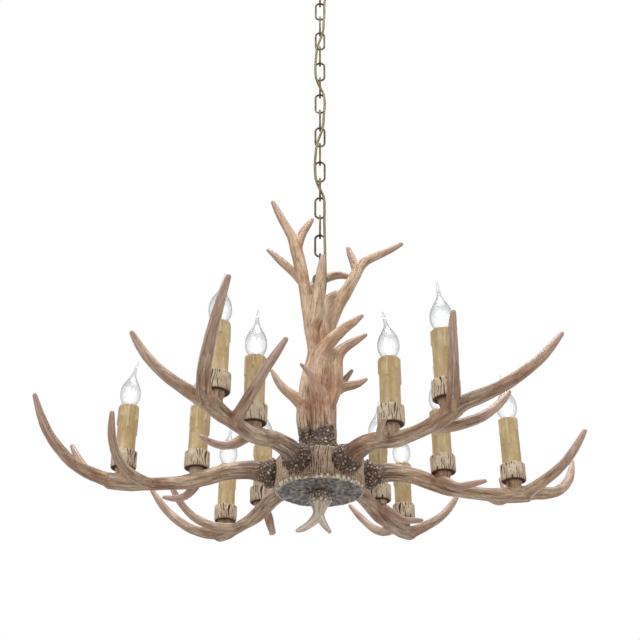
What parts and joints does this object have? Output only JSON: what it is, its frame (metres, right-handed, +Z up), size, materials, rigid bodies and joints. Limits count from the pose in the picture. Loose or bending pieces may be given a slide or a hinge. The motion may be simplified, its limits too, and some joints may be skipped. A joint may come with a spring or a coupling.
{
  "type": "antler chandelier",
  "caption": "Chandelier of antler castings on a round hub, with candle lamps along its arms, hung on a chain with a woven cord from a ceiling canopy.",
  "frame": {"origin": "centre of the ceiling face, on top of the mounting bar between its two screw holes", "axes": "+Z up into the ceiling, so the lamp hangs at negative Z; +X along the mounting bar and along one arm; the picture looks along +Y, from below"},
  "size_m": [0.9067, 0.8946, 1.3193],
  "materials": {
    "aged_brass": "aged, satin",
    "zinc_steel": "zinc plated",
    "terminal_plastic": "matt",
    "cord_jacket": "satin",
    "bark": "grooved, matt",
    "dark_plate": "pebbled, matt",
    "antler": "satin, mottled",
    "candle": "waxy",
    "holder_plastic": "matt",
    "bulb_cap": "satin",
    "bulb_glass": "clear, gloss"
  },
  "bodies": {
    "ceiling_mount": {"mounting_bar": "zinc_steel", "canopy": "aged_brass", "canopy_nipple": "zinc_steel", "canopy_ring_nut": "aged_brass", "canopy_loop": "aged_brass", "ceiling_terminal_block": "terminal_plastic", "cord_in_canopy": "cord_jacket"},
    "top_link": {"top_link": "aged_brass", "cord_at_top_link": "cord_jacket"},
    "pendant": {"chain_links": "aged_brass", "supply_cord": "cord_jacket", "column_loop": "aged_brass", "tie_rod": "zinc_steel", "hub_drum": "bark", "bottom_plate": "dark_plate", "hub_nut": "zinc_steel", "hub_terminal_block": "terminal_plastic", "column_screws": "zinc_steel", "finial": "antler", "column_antler_front": "antler", "column_antler_left": "antler", "column_antler_right": "antler", "arm_bolts": "zinc_steel", "arm_washers": "zinc_steel", "antler_arm_1": "antler", "antler_arm_2": "antler", "antler_arm_3": "antler", "antler_arm_4": "antler", "antler_arm_5": "antler", "antler_arm_6": "antler", "bark_cups": "bark", "candle_sleeves": "candle", "candle_nipples": "zinc_steel", "candle_nuts": "zinc_steel", "lamp_holders": "holder_plastic"},
    "inner_bulb_1_cap": {"inner_bulb_1_cap": "bulb_cap"},
    "inner_bulb_1_glass": {"inner_bulb_1_glass": "bulb_glass"},
    "inner_bulb_2_cap": {"inner_bulb_2_cap": "bulb_cap"},
    "inner_bulb_2_glass": {"inner_bulb_2_glass": "bulb_glass"},
    "inner_bulb_3_cap": {"inner_bulb_3_cap": "bulb_cap"},
    "inner_bulb_3_glass": {"inner_bulb_3_glass": "bulb_glass"},
    "inner_bulb_4_cap": {"inner_bulb_4_cap": "bulb_cap"},
    "inner_bulb_4_glass": {"inner_bulb_4_glass": "bulb_glass"},
    "inner_bulb_5_cap": {"inner_bulb_5_cap": "bulb_cap"},
    "inner_bulb_5_glass": {"inner_bulb_5_glass": "bulb_glass"},
    "inner_bulb_6_cap": {"inner_bulb_6_cap": "bulb_cap"},
    "inner_bulb_6_glass": {"inner_bulb_6_glass": "bulb_glass"},
    "outer_bulb_1_cap": {"outer_bulb_1_cap": "bulb_cap"},
    "outer_bulb_1_glass": {"outer_bulb_1_glass": "bulb_glass"},
    "outer_bulb_2_cap": {"outer_bulb_2_cap": "bulb_cap"},
    "outer_bulb_2_glass": {"outer_bulb_2_glass": "bulb_glass"},
    "outer_bulb_3_cap": {"outer_bulb_3_cap": "bulb_cap"},
    "outer_bulb_3_glass": {"outer_bulb_3_glass": "bulb_glass"},
    "outer_bulb_4_cap": {"outer_bulb_4_cap": "bulb_cap"},
    "outer_bulb_4_glass": {"outer_bulb_4_glass": "bulb_glass"},
    "outer_bulb_5_cap": {"outer_bulb_5_cap": "bulb_cap"},
    "outer_bulb_5_glass": {"outer_bulb_5_glass": "bulb_glass"},
    "outer_bulb_6_cap": {"outer_bulb_6_cap": "bulb_cap"},
    "outer_bulb_6_glass": {"outer_bulb_6_glass": "bulb_glass"}
  },
  "joints": [
    {"name": "sway", "type": "hinge", "parent": "ceiling_mount", "child": "top_link", "pos_m": [0, 0, -0.0665], "axis": [0, 1, 0], "range_deg": [-10, 10]},
    {"name": "swing", "type": "hinge", "parent": "top_link", "child": "pendant", "pos_m": [0, 0, -0.1087], "axis": [1, 0, 0], "range_deg": [-10, 10]},
    {"name": "inner_bulb_1_rise", "type": "slide", "parent": "pendant", "child": "inner_bulb_1_cap", "axis": [0, 0, 1], "range_m": [0, 0.0141]},
    {"name": "inner_bulb_1_turn", "type": "hinge", "parent": "inner_bulb_1_cap", "child": "inner_bulb_1_glass", "pos_m": [0.20316, 0.00555, -1.09571], "axis": [0, 0, 1], "range_deg": [0, 1810]},
    {"name": "inner_bulb_2_rise", "type": "slide", "parent": "pendant", "child": "inner_bulb_2_cap", "axis": [0, 0, 1], "range_m": [0, 0.0141]},
    {"name": "inner_bulb_2_turn", "type": "hinge", "parent": "inner_bulb_2_cap", "child": "inner_bulb_2_glass", "pos_m": [0.10683, 0.17207, -1.08468], "axis": [0, 0, 1], "range_deg": [0, 1810]},
    {"name": "inner_bulb_3_rise", "type": "slide", "parent": "pendant", "child": "inner_bulb_3_cap", "axis": [0, 0, 1], "range_m": [0, 0.0141]},
    {"name": "inner_bulb_3_turn", "type": "hinge", "parent": "inner_bulb_3_cap", "child": "inner_bulb_3_glass", "pos_m": [-0.10486, 0.17365, -1.08802], "axis": [0, 0, 1], "range_deg": [0, 1810]},
    {"name": "inner_bulb_4_rise", "type": "slide", "parent": "pendant", "child": "inner_bulb_4_cap", "axis": [0, 0, 1], "range_m": [0, 0.0141]},
    {"name": "inner_bulb_4_turn", "type": "hinge", "parent": "inner_bulb_4_cap", "child": "inner_bulb_4_glass", "pos_m": [-0.20301, 0.0014, -1.09034], "axis": [0, 0, 1], "range_deg": [0, 1810]},
    {"name": "inner_bulb_5_rise", "type": "slide", "parent": "pendant", "child": "inner_bulb_5_cap", "axis": [0, 0, 1], "range_m": [0, 0.0141]},
    {"name": "inner_bulb_5_turn", "type": "hinge", "parent": "inner_bulb_5_cap", "child": "inner_bulb_5_glass", "pos_m": [-0.09974, -0.17663, -1.08796], "axis": [0, 0, 1], "range_deg": [0, 1810]},
    {"name": "inner_bulb_6_rise", "type": "slide", "parent": "pendant", "child": "inner_bulb_6_cap", "axis": [0, 0, 1], "range_m": [0, 0.0141]},
    {"name": "inner_bulb_6_turn", "type": "hinge", "parent": "inner_bulb_6_cap", "child": "inner_bulb_6_glass", "pos_m": [0.1069, -0.1724, -1.08819], "axis": [0, 0, 1], "range_deg": [0, 1810]},
    {"name": "outer_bulb_1_rise", "type": "slide", "parent": "pendant", "child": "outer_bulb_1_cap", "axis": [0, 0, 1], "range_m": [0, 0.0141]},
    {"name": "outer_bulb_1_turn", "type": "hinge", "parent": "outer_bulb_1_cap", "child": "outer_bulb_1_glass", "pos_m": [0.32062, 0.0216, -1.10465], "axis": [0, 0, 1], "range_deg": [0, 1810]},
    {"name": "outer_bulb_2_rise", "type": "slide", "parent": "pendant", "child": "outer_bulb_2_cap", "axis": [0, 0, 1], "range_m": [0, 0.0141]},
    {"name": "outer_bulb_2_turn", "type": "hinge", "parent": "outer_bulb_2_cap", "child": "outer_bulb_2_glass", "pos_m": [0.15827, 0.27926, -1.08353], "axis": [0, 0, 1], "range_deg": [0, 1810]},
    {"name": "outer_bulb_3_rise", "type": "slide", "parent": "pendant", "child": "outer_bulb_3_cap", "axis": [0, 0, 1], "range_m": [0, 0.0141]},
    {"name": "outer_bulb_3_turn", "type": "hinge", "parent": "outer_bulb_3_cap", "child": "outer_bulb_3_glass", "pos_m": [-0.17705, 0.26809, -1.08971], "axis": [0, 0, 1], "range_deg": [0, 1810]},
    {"name": "outer_bulb_4_rise", "type": "slide", "parent": "pendant", "child": "outer_bulb_4_cap", "axis": [0, 0, 1], "range_m": [0, 0.0141]},
    {"name": "outer_bulb_4_turn", "type": "hinge", "parent": "outer_bulb_4_cap", "child": "outer_bulb_4_glass", "pos_m": [-0.32123, -0.01046, -1.09458], "axis": [0, 0, 1], "range_deg": [0, 1810]},
    {"name": "outer_bulb_5_rise", "type": "slide", "parent": "pendant", "child": "outer_bulb_5_cap", "axis": [0, 0, 1], "range_m": [0, 0.0141]},
    {"name": "outer_bulb_5_turn", "type": "hinge", "parent": "outer_bulb_5_cap", "child": "outer_bulb_5_glass", "pos_m": [-0.14628, -0.28603, -1.08916], "axis": [0, 0, 1], "range_deg": [0, 1810]},
    {"name": "outer_bulb_6_rise", "type": "slide", "parent": "pendant", "child": "outer_bulb_6_cap", "axis": [0, 0, 1], "range_m": [0, 0.0141]},
    {"name": "outer_bulb_6_turn", "type": "hinge", "parent": "outer_bulb_6_cap", "child": "outer_bulb_6_glass", "pos_m": [0.17964, -0.26641, -1.09097], "axis": [0, 0, 1], "range_deg": [0, 1810]}
  ],
  "couplings": [
    {"joint": "inner_bulb_1_turn", "follows": "inner_bulb_1_rise", "rad_per_m": 2228.1},
    {"joint": "inner_bulb_2_turn", "follows": "inner_bulb_2_rise", "rad_per_m": 2228.1},
    {"joint": "inner_bulb_3_turn", "follows": "inner_bulb_3_rise", "rad_per_m": 2228.1},
    {"joint": "inner_bulb_4_turn", "follows": "inner_bulb_4_rise", "rad_per_m": 2228.1},
    {"joint": "inner_bulb_5_turn", "follows": "inner_bulb_5_rise", "rad_per_m": 2228.1},
    {"joint": "inner_bulb_6_turn", "follows": "inner_bulb_6_rise", "rad_per_m": 2228.1},
    {"joint": "outer_bulb_1_turn", "follows": "outer_bulb_1_rise", "rad_per_m": 2228.1},
    {"joint": "outer_bulb_2_turn", "follows": "outer_bulb_2_rise", "rad_per_m": 2228.1},
    {"joint": "outer_bulb_3_turn", "follows": "outer_bulb_3_rise", "rad_per_m": 2228.1},
    {"joint": "outer_bulb_4_turn", "follows": "outer_bulb_4_rise", "rad_per_m": 2228.1},
    {"joint": "outer_bulb_5_turn", "follows": "outer_bulb_5_rise", "rad_per_m": 2228.1},
    {"joint": "outer_bulb_6_turn", "follows": "outer_bulb_6_rise", "rad_per_m": 2228.1}
  ]
}
